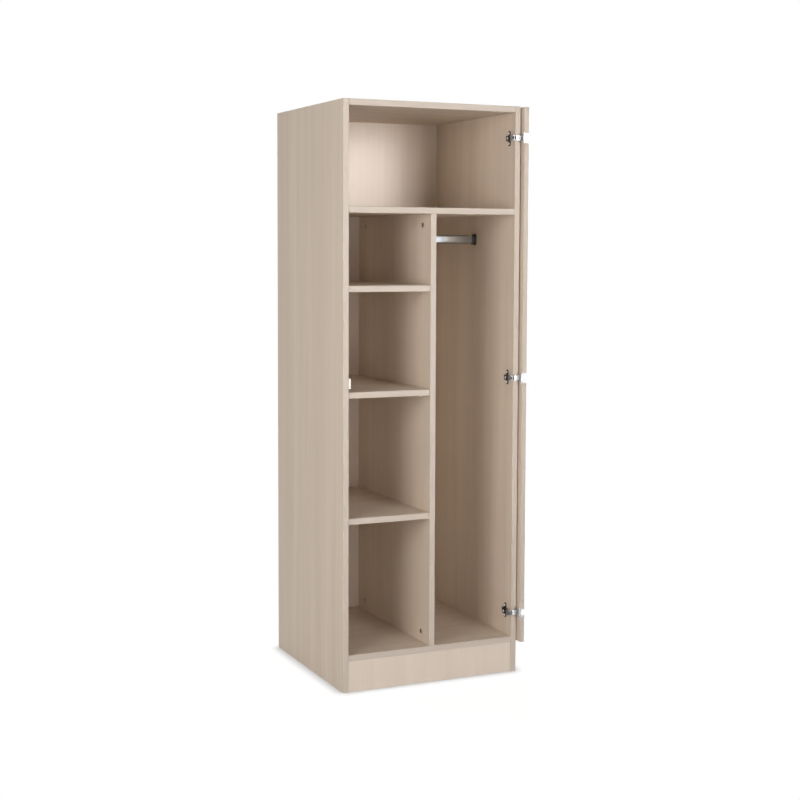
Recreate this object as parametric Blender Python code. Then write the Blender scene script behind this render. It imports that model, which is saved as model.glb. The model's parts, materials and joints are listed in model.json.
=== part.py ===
# Single-door wardrobe in melamine-faced board, 600 wide, 600 deep with its door shut, 1800 high.
# Metres, +Z up, the front faces -Y. The origin is under the middle of the whole part,
# with the door folded back flat against the right side.

import math

import bmesh
import bpy
from mathutils import Matrix, Vector

# Cabinet
WIDTH = 0.600
DEPTH = 0.580
HEIGHT = 1.800
BOARD = 0.019
SEAT = 0.0003
PLINTH_HEIGHT = 0.096
PLINTH_SETBACK = 0.0025
HAT_SHELF_Z = 1.462
PARTITION_X = 0.0

# Back panel, held in grooves
BACK_THICKNESS = 0.008
BACK_INSET = 0.004
GROOVE_DEPTH = 0.006

# Loose shelves on pegs, left of the partition
LOWER_SHELF_Z = 0.517
MIDDLE_SHELF_Z = 0.9025
UPPER_SHELF_Z = 1.224
SHELF_SETBACK = 0.004
SHELF_PLAY = 0.0008
SUPPORT_FRONT_Y = 0.066
SUPPORT_REAR_INSET = 0.065
PEG_RADIUS = 0.0025
PEG_LENGTH = 0.009
PEG_DROP = 0.007
LEDGE_WIDTH = 0.010
LEDGE_REACH = 0.008
LEDGE_HEIGHT = 0.012
LEDGE_WALL = 0.002

# Cam connectors between the fixed boards
CAM_RADIUS = 0.0075
CAM_HEIGHT = 0.0135
CAM_DISTANCE = 0.034
BOLT_RADIUS = 0.003
BOLT_BITE = 0.011
CAM_FRONT_Y = 0.060
CAM_REAR_INSET = 0.065

# Coat rail
RAIL_Y = 0.270
RAIL_DROP = 0.076
RAIL_HEIGHT = 0.030
RAIL_WIDTH = 0.015
RAIL_WALL = 0.0012
SOCKET_WALL = 0.0015
SOCKET_DEPTH = 0.012
FLANGE_HEIGHT = 0.039
FLANGE_WIDTH = 0.024
FLANGE_THICKNESS = 0.003

# Door
DOOR_OPEN = math.radians(270)
DOOR_THICKNESS = 0.016
DOOR_REVEAL = 0.001
DOOR_END_REVEAL = 0.002
DOOR_GAP = 0.002
FOLD_GAP = 0.004

# Corner hinges
PIVOT_OUT = 0.0015
HINGE_INSET = 0.096
PLATE_THICKNESS = 0.003
PLATE_Y = 0.035
PLATE_LENGTH = 0.040
PLATE_BAR_HEIGHT = 0.013
WING_WIDTH = 0.011
WING_SPAN = 0.047
SCREW_SPACING = 0.032
SCREW_RADIUS = 0.0038
SCREW_RISE = 0.0012
ARM_HEIGHT = 0.016
ARM_DEPTH = 0.010
ARM_LENGTH = 0.036
ARM_EDGE_GAP = 0.001
ARM_BOW = 0.008
ARM_CORNER = 0.0035
LEG_CLEARANCE = 0.0006
PIN_RADIUS = 0.00175
PIN_END = 0.001
CUP_HEIGHT = 0.031
CUP_WALL = 0.0012
CUP_END_GAP = 0.0029
CUP_FLOOR_GAP = 0.004
CUP_RIM = 0.0014
WING_THICKNESS = 0.0011
CUP_WING_SPAN = 0.052
CUP_WING_WIDTH = 0.018
EDGE_PLATE = 0.0017
WINDOW_PLAY = 0.0005

# Lock, its strike plate and the flush pull
LOCK_INSET = 0.041
LOCK_RADIUS = 0.009
LOCK_SLEEVE = 0.005
ROSETTE_RADIUS = 0.013
ROSETTE_RISE = 0.0016
NUT_RADIUS = 0.0125
NUT_THICKNESS = 0.0037
ROTOR_RADIUS = 0.006
STUB_RADIUS = 0.003
STUB_HEAD_RADIUS = 0.005
STUB_HEAD_HEIGHT = 0.0015
KEY_SLOT_WIDTH = 0.0014
KEY_SLOT_LENGTH = 0.008
KEY_SLOT_DEPTH = 0.004
TONGUE_TIP_GAP = 0.0007
TONGUE_WIDTH = 0.012
TONGUE_THICKNESS = 0.002
STRIKE_HEIGHT = 0.030
STRIKE_DEPTH = 0.018
STRIKE_LIP = 0.006
STRIKE_THICKNESS = 0.0015
STRIKE_SETBACK = 0.0005
PULL_HEIGHT = 0.110
PULL_WIDTH = 0.040
PULL_DEPTH = 0.0125
PULL_WALL = 0.0015
PULL_RISE = 0.115

ROUND_SIDES = 16
ARC_STEPS = 6
OVERCUT = 0.002

# Places that follow from the sizes above
HALF = WIDTH / 2
INNER = HALF - BOARD
BACK_FRONT = DEPTH - BACK_INSET - BACK_THICKNESS
BACK_REAR = DEPTH - BACK_INSET
BOTTOM_TOP = PLINTH_HEIGHT + BOARD
TOP_UNDER = HEIGHT - BOARD
HAT_TOP = HAT_SHELF_Z + BOARD
PARTITION_LEFT = PARTITION_X - BOARD / 2
PARTITION_RIGHT = PARTITION_X + BOARD / 2
SHELF_Z = {"lower": LOWER_SHELF_Z, "middle": MIDDLE_SHELF_Z, "upper": UPPER_SHELF_Z}
SUPPORT_REAR_Y = DEPTH - SUPPORT_REAR_INSET
CAM_REAR_Y = DEPTH - CAM_REAR_INSET
RAIL_Z = HAT_SHELF_Z - RAIL_DROP

DOOR_WIDTH = WIDTH - 2 * DOOR_REVEAL
DOOR_BOTTOM = PLINTH_HEIGHT + DOOR_END_REVEAL
DOOR_TOP = HEIGHT - DOOR_END_REVEAL
PIVOT_FRONT = FOLD_GAP + DOOR_THICKNESS + DOOR_GAP - PIVOT_OUT
# The shut door seen from its own pivot
DOOR_EDGE_X = -(PIVOT_OUT + DOOR_REVEAL)
DOOR_OUTER_Y = FOLD_GAP - PIVOT_OUT
DOOR_INNER_Y = DOOR_OUTER_Y + DOOR_THICKNESS
DOOR_FREE_X = DOOR_EDGE_X - DOOR_WIDTH
KNUCKLE_RADIUS = math.hypot(DOOR_EDGE_X, DOOR_OUTER_Y) - SEAT
HINGE_Z = {
    "bottom": DOOR_BOTTOM + HINGE_INSET,
    "middle": (DOOR_BOTTOM + DOOR_TOP) / 2,
    "top": DOOR_TOP - HINGE_INSET,
}
LOCK_Z = (DOOR_BOTTOM + DOOR_TOP) / 2
TONGUE_LENGTH = DOOR_REVEAL + LOCK_INSET - BOARD - SEAT - STRIKE_THICKNESS - TONGUE_TIP_GAP
LOCK_REACH = LOCK_SLEEVE + TONGUE_THICKNESS + 2 * SEAT + STUB_HEAD_HEIGHT

BOX_RIGHT = HALF + FOLD_GAP + DOOR_THICKNESS + LOCK_REACH
BOX_FRONT = -(PIVOT_FRONT + KNUCKLE_RADIUS)
BOX_REAR = max(DEPTH, DOOR_WIDTH + DOOR_REVEAL + PIVOT_OUT - PIVOT_FRONT)
CABINET_X = -(BOX_RIGHT - HALF) / 2
CABINET_Y = -(BOX_FRONT + BOX_REAR) / 2

# Finishes: colour, roughness, metallic
DECOR = ((0.60, 0.49, 0.38), 0.55, 0.0)
NICKEL = ((0.62, 0.61, 0.58), 0.30, 1.0)
CHROME = ((0.80, 0.80, 0.80), 0.12, 1.0)
ZINC = ((0.50, 0.50, 0.50), 0.45, 1.0)
ALUMINIUM = ((0.70, 0.70, 0.70), 0.35, 1.0)


def clear_scene():
    for old in list(bpy.data.objects):
        bpy.data.objects.remove(old, do_unlink=True)


def shape(fill):
    """A helper object whose mesh is made by fill, with its faces turned outwards."""
    mesh = bpy.data.meshes.new("shape")
    work = bmesh.new()
    fill(work)
    bmesh.ops.recalc_face_normals(work, faces=work.faces)
    work.to_mesh(mesh)
    work.free()
    helper = bpy.data.objects.new("shape", mesh)
    bpy.context.scene.collection.objects.link(helper)
    helper.hide_render = True
    helper.display_type = "WIRE"
    return helper


def box(low, high):
    size = Vector(high) - Vector(low)
    middle = (Vector(high) + Vector(low)) / 2
    at = Matrix.Translation(middle) @ Matrix.Diagonal((*size, 1))
    return shape(lambda work: bmesh.ops.create_cube(work, size=1, matrix=at))


def prism(outline, start, run):
    """An outline of 3-D points, moved by start and swept along run."""

    def fill(work):
        corners = [work.verts.new(Vector(start) + Vector(point)) for point in outline]
        face = work.faces.new(corners)
        swept = bmesh.ops.extrude_face_region(work, geom=[face])
        moved = [item for item in swept["geom"] if isinstance(item, bmesh.types.BMVert)]
        bmesh.ops.translate(work, verts=moved, vec=Vector(run))

    return shape(fill)


def arc(middle, radius, first, last, steps=ARC_STEPS):
    """Points in a plane on an arc, both ends included, angles in radians."""
    turns = [first + (last - first) * step / steps for step in range(steps + 1)]
    return [(middle[0] + radius * math.cos(t), middle[1] + radius * math.sin(t)) for t in turns]


def stadium(width, height):
    """A flat-sided oval: plane points round the origin, longer along the second axis."""
    radius = width / 2
    straight = height / 2 - radius
    return arc((0, straight), radius, 0, math.pi) + arc((0, -straight), radius, math.pi, 2 * math.pi)


def rod(start, run, radius, sides=ROUND_SIDES):
    """A round bar from start along run."""
    along = Vector(run).normalized()
    across = along.orthogonal().normalized()
    over = along.cross(across)
    ring = [2 * math.pi * side / sides for side in range(sides)]
    outline = [radius * (math.cos(turn) * across + math.sin(turn) * over) for turn in ring]
    return prism(outline, start, run)


def copy_of(mesh, at):
    """A helper that holds a mesh already made, at a matrix."""
    helper = bpy.data.objects.new("shape", mesh)
    bpy.context.scene.collection.objects.link(helper)
    helper.matrix_world = at
    helper.hide_render = True
    helper.display_type = "WIRE"
    return helper


def finished(base, adds=(), cuts=()):
    """The mesh of base with the adds joined on and the cuts taken out; the helpers go."""
    tools = [(tool, "UNION") for tool in adds] + [(tool, "DIFFERENCE") for tool in cuts]
    for tool, operation in tools:
        step = base.modifiers.new(operation, "BOOLEAN")
        step.operation = operation
        step.solver = "MANIFOLD"
        step.object = tool
    graph = bpy.context.evaluated_depsgraph_get()
    mesh = bpy.data.meshes.new_from_object(base.evaluated_get(graph))
    for helper in [base] + [tool for tool, _ in tools]:
        bpy.data.objects.remove(helper, do_unlink=True)
    return mesh


def rounded(mesh):
    mesh.shade_smooth()
    mesh.set_sharp_from_angle(angle=math.radians(35))
    return mesh


def empty(name, parent=None, place=(0, 0, 0), turn=(0, 0, 0)):
    frame = bpy.data.objects.new(name, None)
    bpy.context.scene.collection.objects.link(frame)
    frame.parent = parent
    frame.location = place
    frame.rotation_euler = turn
    return frame


def part(name, mesh, look, parent, place=(0, 0, 0), turn=(0, 0, 0)):
    """One named piece with its own material."""
    colour, roughness, metallic = look
    finish = bpy.data.materials.new(name)
    finish.use_nodes = True
    shader = finish.node_tree.nodes["Principled BSDF"]
    shader.inputs["Base Color"].default_value = (*colour, 1)
    shader.inputs["Roughness"].default_value = roughness
    shader.inputs["Metallic"].default_value = metallic
    piece = bpy.data.objects.new(name, mesh)
    bpy.context.scene.collection.objects.link(piece)
    if not mesh.materials:
        mesh.materials.append(finish)
    piece.material_slots[0].link = "OBJECT"
    piece.material_slots[0].material = finish
    piece.parent = parent
    piece.location = place
    piece.rotation_euler = turn
    return piece


def turned(x_axis, z_axis):
    """The turn that takes a piece's own X and Z to these directions."""
    x_to = Vector(x_axis)
    z_to = Vector(z_axis)
    return Matrix((x_to, z_to.cross(x_to), z_to)).transposed()


# Cam connectors: the cam lies in its host board, the bolt crosses the joint into the mate.
# The joint plane is at X = 0, the host lies towards -X, and the cam shows on the host's -Z face.


def connector_places():
    """Name, host, mate, place and turn of each connector."""
    places = []
    for row, y in (("front", CAM_FRONT_Y), ("rear", CAM_REAR_Y)):
        undersides = {"top_panel": TOP_UNDER, "hat_shelf": HAT_SHELF_Z, "bottom_panel": PLINTH_HEIGHT}
        for host, z in undersides.items():
            for side, sign in (("left", -1), ("right", 1)):
                at = (sign * INNER, y, z + BOARD / 2)
                turn = turned((sign, 0, 0), (0, 0, 1))
                places.append((f"cam_{host}_{side}_{row}", host, f"{side}_side_panel", at, turn))
        for mate, z, sign in (("hat_shelf", HAT_SHELF_Z, 1), ("bottom_panel", BOTTOM_TOP, -1)):
            at = (PARTITION_X, y, z)
            turn = turned((0, 0, sign), (1, 0, 0))
            places.append((f"cam_partition_{mate}_{row}", "partition", mate, at, turn))
    return places


def connector_mesh(play, over):
    """The connector, or with play and over its bore."""
    face = -BOARD / 2
    cam = rod((-CAM_DISTANCE, 0, face - over), (0, 0, CAM_HEIGHT + play + over), CAM_RADIUS + play)
    bolt = rod((-CAM_DISTANCE, 0, 0), (CAM_DISTANCE + BOLT_BITE + play, 0, 0), BOLT_RADIUS + play)
    return finished(cam, adds=[bolt])


def matrix_at(place, turn):
    return Matrix.Translation(place) @ turn.to_4x4()


# Shelf supports: a peg in the board and a bent ledge under the shelf.
# The board's face is at X = 0, the shelf lies towards +X and its underside is at Z = 0.


def support_places():
    places = []
    for shelf, z in SHELF_Z.items():
        for row, y in (("front", SUPPORT_FRONT_Y), ("rear", SUPPORT_REAR_Y)):
            left = ("left_side_panel", (-INNER, y, z), turned((1, 0, 0), (0, 0, 1)))
            right = ("partition", (PARTITION_LEFT, y, z), turned((-1, 0, 0), (0, 0, 1)))
            for side, (board, at, turn) in (("left", left), ("right", right)):
                places.append((f"support_{shelf}_{side}_{row}", board, at, turn))
    return places


def support_mesh():
    top = -SEAT
    low = top - LEDGE_HEIGHT
    inner = SEAT + LEDGE_WALL
    outline = [
        (SEAT, 0, low),
        (inner, 0, low),
        (inner, 0, top - LEDGE_WALL),
        (LEDGE_REACH, 0, top - LEDGE_WALL),
        (LEDGE_REACH, 0, top),
        (SEAT, 0, top),
    ]
    ledge = prism(outline, (0, -LEDGE_WIDTH / 2, 0), (0, LEDGE_WIDTH, 0))
    peg = rod((-PEG_LENGTH, 0, -PEG_DROP), (PEG_LENGTH + inner - SEAT / 2, 0, 0), PEG_RADIUS)
    return rounded(finished(ledge, adds=[peg]))


def peg_bore(at, turn):
    bore = rod((-PEG_LENGTH - SEAT, 0, -PEG_DROP), (PEG_LENGTH + OVERCUT, 0, 0), PEG_RADIUS + SEAT)
    bore.matrix_world = matrix_at(at, turn)
    return bore


def back_groove():
    """The channel that the back panel sits in, all round."""
    reach = INNER + GROOVE_DEPTH + SEAT
    low = (-reach, BACK_FRONT - SEAT, BOTTOM_TOP - GROOVE_DEPTH - SEAT)
    high = (reach, BACK_REAR + SEAT, TOP_UNDER + GROOVE_DEPTH + SEAT)
    return box(low, high)


def board_boxes():
    """Lowest and highest corner of each fixed board."""
    clear = INNER - SEAT
    stop = BACK_FRONT - SEAT
    return {
        "left_side_panel": ((-HALF, 0, 0), (-INNER, DEPTH, HEIGHT)),
        "right_side_panel": ((INNER, 0, 0), (HALF, DEPTH, HEIGHT)),
        "top_panel": ((-clear, 0, TOP_UNDER), (clear, DEPTH, HEIGHT)),
        "hat_shelf": ((-clear, 0, HAT_SHELF_Z), (clear, stop, HAT_TOP)),
        "bottom_panel": ((-clear, 0, PLINTH_HEIGHT), (clear, DEPTH, BOTTOM_TOP)),
        "partition": ((PARTITION_LEFT, 0, BOTTOM_TOP + SEAT), (PARTITION_RIGHT, stop, HAT_SHELF_Z - SEAT)),
    }


def make_boards(cabinet):
    bore = connector_mesh(SEAT, OVERCUT)
    grooved = ("left_side_panel", "right_side_panel", "top_panel", "bottom_panel")
    for name, (low, high) in board_boxes().items():
        cuts = [back_groove()] if name in grooved else []
        for _, host, mate, at, turn in connector_places():
            if name in (host, mate):
                cuts.append(copy_of(bore, matrix_at(at, turn)))
        for _, board, at, turn in support_places():
            if name == board:
                cuts.append(peg_bore(at, turn))
        part(name, finished(box(low, high), cuts=cuts), DECOR, cabinet)
    plinth_low = (-INNER + SEAT, PLINTH_SETBACK, 0)
    plinth_high = (INNER - SEAT, PLINTH_SETBACK + BOARD, PLINTH_HEIGHT - SEAT)
    part("plinth_board", finished(box(plinth_low, plinth_high)), DECOR, cabinet)
    reach = INNER + GROOVE_DEPTH
    back_low = (-reach, BACK_FRONT, BOTTOM_TOP - GROOVE_DEPTH)
    back_high = (reach, BACK_REAR, TOP_UNDER + GROOVE_DEPTH)
    part("back_panel", finished(box(back_low, back_high)), DECOR, cabinet)


def make_shelves(cabinet):
    left = -INNER + SHELF_PLAY
    right = PARTITION_LEFT - SHELF_PLAY
    rear = BACK_FRONT - SHELF_PLAY
    for shelf, z in SHELF_Z.items():
        mesh = finished(box((left, SHELF_SETBACK, z), (right, rear, z + BOARD)))
        part(f"{shelf}_shelf", mesh, DECOR, cabinet)
    support = support_mesh()
    for name, _, at, turn in support_places():
        part(name, support, NICKEL, cabinet, at, turn.to_euler())


def make_connectors(cabinet):
    connector = rounded(connector_mesh(0, 0))
    for name, _, _, at, turn in connector_places():
        part(name, connector, ZINC, cabinet, at, turn.to_euler())


# Coat rail: an oval tube between two sockets


def upright(outline):
    """Plane points stood up in the Y-Z plane."""
    return [(0, y, z) for y, z in outline]


def make_rail(cabinet):
    start = PARTITION_RIGHT + SEAT
    end = INNER - SEAT
    tube_start = start + FLANGE_THICKNESS + SEAT
    tube_end = end - FLANGE_THICKNESS - SEAT
    run = (tube_end - tube_start, 0, 0)
    tube = prism(upright(stadium(RAIL_WIDTH, RAIL_HEIGHT)), (tube_start, 0, 0), run)
    inside = stadium(RAIL_WIDTH - 2 * RAIL_WALL, RAIL_HEIGHT - 2 * RAIL_WALL)
    through = (run[0] + 2 * OVERCUT, 0, 0)
    bore = prism(upright(inside), (tube_start - OVERCUT, 0, 0), through)
    place = (0, RAIL_Y, RAIL_Z)
    part("coat_rail", rounded(finished(tube, cuts=[bore])), CHROME, cabinet, place)
    collar = 2 * (SEAT + SOCKET_WALL)
    for side, face, sign in (("left", start, 1), ("right", end, -1)):
        flange = prism(
            upright(stadium(FLANGE_WIDTH, FLANGE_HEIGHT)), (face, 0, 0), (sign * FLANGE_THICKNESS, 0, 0)
        )
        cup = prism(
            upright(stadium(RAIL_WIDTH + collar, RAIL_HEIGHT + collar)),
            (face + sign * FLANGE_THICKNESS / 2, 0, 0),
            (sign * (FLANGE_THICKNESS / 2 + SOCKET_DEPTH), 0, 0),
        )
        socket = prism(
            upright(stadium(RAIL_WIDTH + 2 * SEAT, RAIL_HEIGHT + 2 * SEAT)),
            (face + sign * FLANGE_THICKNESS, 0, 0),
            (sign * (SOCKET_DEPTH + OVERCUT), 0, 0),
        )
        mesh = rounded(finished(flange, adds=[cup], cuts=[socket]))
        part(f"rail_socket_{side}", mesh, CHROME, cabinet, place)


# Corner hinges. The fixed half is drawn from the right panel's outer front corner:
# X outwards, Y backwards. The half on the door is drawn from the pivot, with the door shut.


def flat(outline, z):
    """Plane points laid in the X-Y plane at a height."""
    return [(x, y, z) for x, y in outline]


def plate_outline():
    """The cross-shaped mounting plate: a bar along Y and round-ended wings along Z."""
    bar = PLATE_LENGTH / 2
    half_bar = PLATE_BAR_HEIGHT / 2
    wing = WING_WIDTH / 2
    tip = WING_SPAN / 2 - wing
    upper = arc((0, tip), wing, 0, math.pi)
    lower = arc((0, -tip), wing, math.pi, 2 * math.pi)
    right = [(wing, -half_bar), (bar, -half_bar), (bar, half_bar), (wing, half_bar)]
    left = [(-wing, half_bar), (-bar, half_bar), (-bar, -half_bar), (-wing, -half_bar)]
    return right + upper + left + lower


def plate_mesh():
    face = -BOARD - SEAT
    inner = face - PLATE_THICKNESS
    outline = [(0, PLATE_Y + y, z) for y, z in plate_outline()]
    plate = prism(outline, (face, 0, 0), (-PLATE_THICKNESS, 0, 0))
    heads = []
    for sign in (-1, 1):
        at = (inner + PLATE_THICKNESS / 2, PLATE_Y, sign * SCREW_SPACING / 2)
        heads.append(rod(at, (-SCREW_RISE - PLATE_THICKNESS / 2, 0, 0), SCREW_RADIUS))
    return rounded(finished(plate, adds=heads))


ARM_OUTER_X = -BOARD - PLATE_THICKNESS - 2 * SEAT
ARM_INNER_X = ARM_OUTER_X - ARM_DEPTH
ARM_FRONT_Y = -ARM_EDGE_GAP - ARM_BOW
LEG_INNER_X = -DOOR_REVEAL + LEG_CLEARANCE
LEG_OUTER_X = FOLD_GAP - LEG_CLEARANCE


def arm_outline():
    """The arm from the plate, round the panel's front edge, to the knuckle at the pivot."""
    pivot = (PIVOT_OUT, -PIVOT_FRONT)
    outer = math.acos((LEG_OUTER_X - PIVOT_OUT) / KNUCKLE_RADIUS)
    inner = math.acos((LEG_INNER_X - PIVOT_OUT) / KNUCKLE_RADIUS)
    knuckle = arc(pivot, KNUCKLE_RADIUS, inner, outer + 2 * math.pi, 2 * ARC_STEPS)
    elbow = (ARM_INNER_X + ARM_CORNER, ARM_FRONT_Y + ARM_CORNER)
    corner = arc(elbow, ARM_CORNER, math.pi, 1.5 * math.pi)
    heel = (LEG_OUTER_X - ARM_CORNER / 2, -ARM_EDGE_GAP - ARM_CORNER / 2)
    turn = arc(heel, ARM_CORNER / 2, 0, math.pi / 2)
    rear = ARM_LENGTH
    back = [(ARM_OUTER_X, -ARM_EDGE_GAP), (ARM_OUTER_X, rear), (ARM_INNER_X, rear)]
    return back + corner + [(LEG_INNER_X, ARM_FRONT_Y)] + knuckle + turn


def arm_mesh():
    arm = prism(flat(arm_outline(), 0), (0, 0, -ARM_HEIGHT / 2), (0, 0, ARM_HEIGHT))
    eye = (PIVOT_OUT, -PIVOT_FRONT, -ARM_HEIGHT)
    hole = rod(eye, (0, 0, 2 * ARM_HEIGHT), PIN_RADIUS + SEAT)
    return rounded(finished(arm, cuts=[hole]))


def pin_mesh():
    length = CUP_HEIGHT + 2 * PIN_END
    return rounded(finished(rod((0, 0, -length / 2), (0, 0, length), PIN_RADIUS)))


# The arm inside the shut door, and the cup that clears it
CUP_INSIDE_X = ARM_INNER_X - PIVOT_OUT - CUP_END_GAP
CUP_END_X = CUP_INSIDE_X - CUP_WALL
CUP_INSIDE_Y = PIVOT_FRONT + ARM_FRONT_Y - CUP_FLOOR_GAP
CUP_FLOOR_Y = CUP_INSIDE_Y - CUP_WALL
CUP_RIM_Y = DOOR_INNER_Y + CUP_RIM
WINDOW_HEIGHT = ARM_HEIGHT + 2 * WINDOW_PLAY


def cup_mesh():
    """The cup, its screw wings, the plate on the door's edge and the two ears at the pivot."""
    half = CUP_HEIGHT / 2
    inside = half - CUP_WALL
    plate_x = DOOR_EDGE_X - EDGE_PLATE
    window = WINDOW_HEIGHT / 2
    outline = [
        (CUP_END_X, CUP_FLOOR_Y), (plate_x, CUP_FLOOR_Y), (plate_x, DOOR_OUTER_Y),
        (DOOR_EDGE_X, DOOR_OUTER_Y), (DOOR_EDGE_X, CUP_RIM_Y), (CUP_END_X, CUP_RIM_Y),
    ]
    block = prism(flat(outline, -half), (0, 0, 0), (0, 0, CUP_HEIGHT))
    middle = (CUP_INSIDE_X + plate_x) / 2
    wing = CUP_WING_WIDTH / 2
    wings = box(
        (middle - wing, DOOR_INNER_Y + SEAT, -CUP_WING_SPAN / 2),
        (middle + wing, DOOR_INNER_Y + SEAT + WING_THICKNESS, CUP_WING_SPAN / 2),
    )
    knuckle = arc((0, 0), KNUCKLE_RADIUS, math.radians(60), math.radians(-155), 2 * ARC_STEPS)
    root_x = DOOR_EDGE_X - EDGE_PLATE / 2
    root = [(root_x, DOOR_OUTER_Y + SEAT), (root_x, CUP_INSIDE_Y - SEAT)]
    ear_height = half - ARM_HEIGHT / 2 - SEAT
    adds = [wings]
    for base in (-half, half - ear_height):
        adds.append(prism(flat(root + knuckle, base), (0, 0, 0), (0, 0, ear_height)))
    cavity = box((CUP_INSIDE_X, CUP_INSIDE_Y, -inside), (plate_x, CUP_RIM_Y + OVERCUT, inside))
    mouth = box(
        (plate_x - OVERCUT, CUP_INSIDE_Y, -window), (DOOR_EDGE_X + OVERCUT, CUP_RIM_Y + OVERCUT, window)
    )
    hole = rod((0, 0, -CUP_HEIGHT), (0, 0, 2 * CUP_HEIGHT), PIN_RADIUS + SEAT)
    return rounded(finished(block, adds=adds, cuts=[cavity, mouth, hole]))


def cup_pockets(z):
    """What the door gives up to one hinge: the cup's pocket and the plate's recess."""
    half = CUP_HEIGHT / 2 + SEAT
    past = (DOOR_EDGE_X + OVERCUT, DOOR_INNER_Y + OVERCUT, z + half)
    pocket = box((CUP_END_X - SEAT, CUP_FLOOR_Y - SEAT, z - half), past)
    recess = box((DOOR_EDGE_X - EDGE_PLATE - SEAT, DOOR_OUTER_Y - OVERCUT, z - half), past)
    return [pocket, recess]


def make_hinges(cabinet, door):
    plate = plate_mesh()
    arm = arm_mesh()
    pin = pin_mesh()
    cup = cup_mesh()
    for name, z in HINGE_Z.items():
        corner = (HALF, 0, z)
        part(f"hinge_plate_{name}", plate, NICKEL, cabinet, corner)
        part(f"hinge_arm_{name}", arm, NICKEL, cabinet, corner)
        part(f"hinge_pin_{name}", pin, NICKEL, cabinet, (HALF + PIVOT_OUT, -PIVOT_FRONT, z))
        part(f"hinge_cup_{name}", cup, NICKEL, door, (0, 0, z))


# Door, lock and pull, drawn from the pivot with the door shut

LOCK_X = DOOR_FREE_X + LOCK_INSET


def pull_shape(grow, depth, start):
    """A flat-sided oval block let in from the door's outer face."""
    oval = stadium(PULL_WIDTH + 2 * grow, PULL_HEIGHT + 2 * grow)
    outline = [(x, 0, z) for x, z in oval]
    return prism(outline, (LOCK_X, start, LOCK_Z + PULL_RISE), (0, depth, 0))


def make_door(door):
    panel = box((DOOR_FREE_X, DOOR_OUTER_Y, DOOR_BOTTOM), (DOOR_EDGE_X, DOOR_INNER_Y, DOOR_TOP))
    cuts = []
    for z in HINGE_Z.values():
        cuts += cup_pockets(z)
    through = (0, DOOR_THICKNESS + 2 * OVERCUT, 0)
    cuts.append(rod((LOCK_X, DOOR_OUTER_Y - OVERCUT, LOCK_Z), through, LOCK_RADIUS + SEAT))
    cuts.append(pull_shape(SEAT, PULL_DEPTH + SEAT + OVERCUT, DOOR_OUTER_Y - OVERCUT))
    part("door_panel", finished(panel, cuts=cuts), DECOR, door)
    dish = pull_shape(0, PULL_DEPTH, DOOR_OUTER_Y)
    hollow = pull_shape(-PULL_WALL, PULL_DEPTH - PULL_WALL + OVERCUT, DOOR_OUTER_Y - OVERCUT)
    part("flush_pull", rounded(finished(dish, cuts=[hollow])), ALUMINIUM, door)


def make_lock(door):
    """The lock is drawn from its own axis, with Y = 0 on the door's outer face."""
    face = (LOCK_X, DOOR_OUTER_Y, LOCK_Z)
    sleeve_end = DOOR_THICKNESS + LOCK_SLEEVE
    sleeve = rod((0, -ROSETTE_RISE, 0), (0, sleeve_end + ROSETTE_RISE, 0), LOCK_RADIUS)
    rosette = rod((0, -ROSETTE_RISE, 0), (0, ROSETTE_RISE - SEAT, 0), ROSETTE_RADIUS, 2 * ROUND_SIDES)
    nut = rod((0, DOOR_THICKNESS + SEAT, 0), (0, NUT_THICKNESS, 0), NUT_RADIUS, 6)
    through = (0, sleeve_end + ROSETTE_RISE + 2 * OVERCUT, 0)
    bore = rod((0, -ROSETTE_RISE - OVERCUT, 0), through, ROTOR_RADIUS + SEAT)
    part("lock_body", rounded(finished(sleeve, adds=[rosette, nut], cuts=[bore])), NICKEL, door, face)

    axis = empty("lock_axis", door, face)
    tongue_start = sleeve_end + SEAT
    tongue_end = tongue_start + TONGUE_THICKNESS
    head_start = tongue_end + SEAT
    plug = rod((0, -ROSETTE_RISE, 0), (0, ROSETTE_RISE + tongue_start - SEAT, 0), ROTOR_RADIUS)
    stub_start = tongue_start - 2 * SEAT
    stub = rod((0, stub_start, 0), (0, head_start + SEAT - stub_start, 0), STUB_RADIUS)
    head = rod((0, head_start, 0), (0, STUB_HEAD_HEIGHT, 0), STUB_HEAD_RADIUS)
    slot = box(
        (-KEY_SLOT_WIDTH / 2, -ROSETTE_RISE - OVERCUT, -KEY_SLOT_LENGTH / 2),
        (KEY_SLOT_WIDTH / 2, -ROSETTE_RISE + KEY_SLOT_DEPTH, KEY_SLOT_LENGTH / 2),
    )
    part("lock_rotor", rounded(finished(plug, adds=[stub, head], cuts=[slot])), NICKEL, axis)

    half = TONGUE_WIDTH / 2
    eye = arc((0, 0), half, math.pi, 2 * math.pi, 2 * ARC_STEPS)
    outline = eye + [(half, TONGUE_LENGTH), (-half, TONGUE_LENGTH)]
    tongue = prism([(x, 0, z) for x, z in outline], (0, tongue_start, 0), (0, TONGUE_THICKNESS, 0))
    hole = rod((0, tongue_start - OVERCUT, 0), (0, TONGUE_THICKNESS + 2 * OVERCUT, 0), STUB_RADIUS + SEAT)
    part("lock_tongue", rounded(finished(tongue, cuts=[hole])), NICKEL, axis)


def make_strike(cabinet):
    """The angle on the left panel that the tongue turns in behind."""
    rear = STRIKE_SETBACK + STRIKE_DEPTH
    lip = STRIKE_SETBACK + STRIKE_THICKNESS
    outline = [
        (0, STRIKE_SETBACK, 0),
        (STRIKE_LIP, STRIKE_SETBACK, 0),
        (STRIKE_LIP, lip, 0),
        (STRIKE_THICKNESS, lip, 0),
        (STRIKE_THICKNESS, rear, 0),
        (0, rear, 0),
    ]
    start = (-INNER + SEAT, 0, LOCK_Z - STRIKE_HEIGHT / 2)
    part("strike_plate", finished(prism(outline, start, (0, 0, STRIKE_HEIGHT))), NICKEL, cabinet)


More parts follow.
